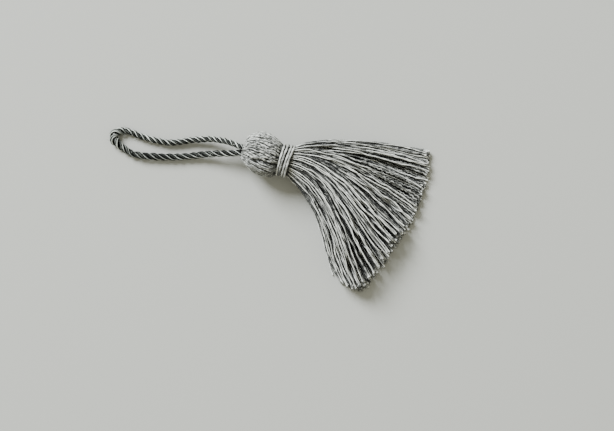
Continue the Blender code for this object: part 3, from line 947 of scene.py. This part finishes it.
headValues = {
    "sections": (  # x, radius, y of the middle, mm, from the eye to the neck
        (-6.2, 2.50, -0.35), (-7.1, 2.60, -0.30), (-7.4, 2.90, -0.15), (-7.2, 3.45, 0.10),
        (-6.6, 4.25, 0.40), (-5.5, 5.30, 0.65), (-4.0, 6.40, 0.65), (-2.2, 7.10, 0.50),
        (-0.2, 7.35, 0.25), (1.7, 7.25, 0.00), (3.4, 6.85, -0.25), (4.7, 6.25, -0.45),
        (5.5, 5.55, -0.35), (6.1, 4.95, -0.15), (6.9, 4.85, 0.00)),
    "twist": 3,  # degrees from the neck back to the eye
    "layers": (  # yarns, half width, depth, tone; the deeper layer's low tone is painted shade
        (96, 0.29 * mm, 0.00, 0.55),
        (66, 0.38 * mm, 0.40 * mm, 0.20)),
    "step": 0.3 * mm,
    "scatter": 0.35,  # of the yarns' starts, a share of their pitch
    "sway": ((0.045, 9), (0.05, 2)),  # radians, and waves from the eye to the neck
    "sizes": (0.8, 1.15),  # shares of the half width
    "widest": 1.3,  # share of its room round the head that a yarn may take
    "lift": (0.22 * mm, 10),  # height and waves of a yarn's ups and downs
    "crease": {
        "y": -2.75 * mm, "width": 0.50 * mm, "depth": 1.1 * mm, "from": -4.6 * mm, "grow": 2.5 * mm,
        "above": 1.5 * mm},
    "pouch": {"off": (0.3 * mm, 0.7 * mm), "along": (-5 * mm, 3 * mm)},
    "neckwardShade": (1.5 * mm, 3.5 * mm),  # x where the tone begins to fall under painted shade towards the binding, and over what
    # painted shade: darker in the crease, towards the binding, and in the pouch beside the crease
    "darker": {"crease": 0.9, "neckwardShade": 0.40, "pouch": 0.10},
    "dashes": {"size": 0.52, "lessInPouch": 0.30, "waves": 36},
    "between": (0.02, 1.2),
    "seed": 8,
    "fibres": {
        "density": 0.10e6, "lowest": 1.0 * mm, "length": 1.4 * mm, "thickness": 0.025 * mm, "seed": 5},
    "spin": {"plies": 2, "lay": 6 * mm, "groove": 0.28, "sides": 6, "step": 0.36 * mm},
}


def creaseAt(x, y, above, v):
    # how far a point lies in the crease, and in the smoother pouch beside it
    crease, pouch = v["crease"], v["pouch"]
    off = crease["y"] - y
    reach = rise(x, crease["from"], crease["grow"]) * rise(above, 0, crease["above"])
    inPouch = rise(off, *pouch["off"]) * rise(x, *pouch["along"])
    return np.exp(-(off / crease["width"]) ** 2) * reach, inPouch


def makeHead(v):
    curve = evenlySpaced(throughPoints(np.array(v["sections"]) * mm, 6), v["step"])
    x, radius, lean = curve.T
    turn = math.radians(v["twist"]) * (x[-1] - x) / (x[-1] - x[0])
    draw = random.Random(v["seed"])
    darker, dashes = v["darker"], v["dashes"]
    lines = []
    for count, fullWidth, depth, tone in v["layers"]:
        for k in range(count):
            start = 2 * math.pi * (k + draw.uniform(-v["scatter"], v["scatter"])) / count
            sway = sum(size * softNoise(len(x), waves, draw) for size, waves in v["sway"])
            angle = start - turn + sway
            halfWidth = np.minimum(fullWidth * draw.uniform(*v["sizes"]),
                                   v["widest"] * math.pi * radius / count)
            lift = v["lift"][0] * softNoise(len(x), v["lift"][1], draw)
            crease, pouch = creaseAt(x, lean + radius * np.cos(angle), radius * np.sin(angle), v)
            out = radius - halfWidth - depth + lift - v["crease"]["depth"] * crease
            z = np.maximum(bundle["axisHeight"] + out * np.sin(angle), halfWidth)
            # painted shade in the crease, towards the binding and in the pouch
            own = 1 - darker["crease"] * crease - darker["neckwardShade"] * rise(x, *v["neckwardShade"])
            own = tone * (own - darker["pouch"] * pouch)
            dash = dashes["size"] - dashes["lessInPouch"] * pouch
            tones = own + dash * softNoise(len(x), dashes["waves"], draw)
            lines.append({"points": np.column_stack([x, lean + out * np.cos(angle), z]),
                          "halfWidth": halfWidth, "phase": draw.uniform(0, fullTurn),
                          "tone": np.clip(tones, *v["between"])})
    head = spinYarn("headYarns", lines, v["spin"], greyYarn)
    for piece in (head, looseFibres("headFibres", [head], v["fibres"], greyYarn)):
        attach(piece, "root")
        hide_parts("yarn_bundle")


makeHead(headValues)
print("head laid")

# the binding: four turns of one yarn round the neck

bindingValues = {
    "turnsAt": (6.05, 6.98, 8.15, 9.00),  # x of each turn's middle, mm
    "splay": 0.9 * mm,  # how far the last turn leans over on one side
    "radius": 5.28 * mm,
    "flare": 0.45 * mm,  # how much wider the last turn is
    "across": -0.10 * mm,  # y of the turns' middle
    "halfWidth": 0.42 * mm,
    "points": 480,
    "tuck": 0.12,  # share of a turn in which each end dips into the neck
    "tuckDepth": 0.75 * mm,
    "phase": 0.5,
    "tone": 0.32,
    "blotches": (0.22, 60),  # size and waves
    "firstTurn": (0.30, 1.3),  # how much lighter it is, and where that ends, in turns
    "seed": 2,
    "spin": {"plies": 3, "lay": 9 * mm, "groove": 0.30, "sides": 12, "step": 0.3 * mm},
}


def makeBinding(v):
    turns = len(v["turnsAt"])
    t = np.linspace(0, turns, v["points"])
    angle = -2 * math.pi * t - math.pi / 2
    x = np.interp(t - 0.5, np.arange(turns), v["turnsAt"]) * mm
    x = x + v["splay"] * np.clip(np.cos(angle), 0, 1) * t / turns
    tuck = smoothStep(1 - t / v["tuck"]) + smoothStep((t - turns + v["tuck"]) / v["tuck"])
    radius = v["radius"] + v["flare"] * t / turns - v["tuckDepth"] * tuck
    y = v["across"] + radius * np.cos(angle)
    z = bundle["axisHeight"] + radius * np.sin(angle)
    lighter, until = v["firstTurn"]
    blotch, waves = v["blotches"]
    tone = v["tone"] + blotch * softNoise(len(t), waves, random.Random(v["seed"]))
    line = {"points": softened(np.column_stack([x, y, z]), 3), "halfWidth": v["halfWidth"],
            "phase": v["phase"], "tone": tone + lighter * smoothStep(until - t)}
    binding = spinYarn("neckBinding", [line], v["spin"], bindingYarn)
    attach(binding, "root")
    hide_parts("neck_binding")


makeBinding(bindingValues)
print("binding wound")

# floor and light

stageValues = {
    "floorReach": 3.0,
    "floorRoughness": 0.95,
    "floorGloss": 0.1,
    "floorColour": (0.352, 0.362, 0.323),
    "keyFrom": (-0.64, 0.47, 0.608),  # direction towards the key light
    "keyDistance": 2.0,
    "keySize": 0.97,
    "keyEnergy": 142.0,
    "keyColour": (0.90, 0.92, 1.0),
    "fillColour": (1.0, 0.965, 0.84),
    "fillStrength": 0.78,
}


def makeStage(v):
    mesh = bpy.data.meshes.new("floor")
    reach = v["floorReach"]
    corners = [(reach * x, reach * y, 0) for x, y in ((-1, -1), (1, -1), (1, 1), (-1, 1))]
    mesh.from_pydata(corners, [], [(0, 1, 2, 3)])
    floor = putInScene("floor", mesh)
    paint, shader = newMaterial("paleFloor", v["floorGloss"])
    shader.inputs["Base Color"].default_value = (*v["floorColour"], 1)
    shader.inputs["Roughness"].default_value = v["floorRoughness"]
    mesh.materials.append(paint)

    data = bpy.data.lights.new("key", "AREA")
    data.shape = "DISK"
    data.size = v["keySize"]
    data.energy = v["keyEnergy"]
    data.color = v["keyColour"]
    key = putInScene("key", data)
    towards = Vector(v["keyFrom"]).normalized()
    middle = Vector((cameraValues["over"][0], cameraValues["over"][1], 0))
    key.location = middle + towards * v["keyDistance"]
    key.rotation_euler = towards.to_track_quat("Z", "Y").to_euler()

    world = bpy.data.worlds.new("softFill")
    world.use_nodes = True
    background = world.node_tree.nodes["Background"]
    background.inputs["Color"].default_value = (*v["fillColour"], 1)
    background.inputs["Strength"].default_value = v["fillStrength"]
    bpy.context.scene.world = world


makeStage(stageValues)
print("floor and light placed")
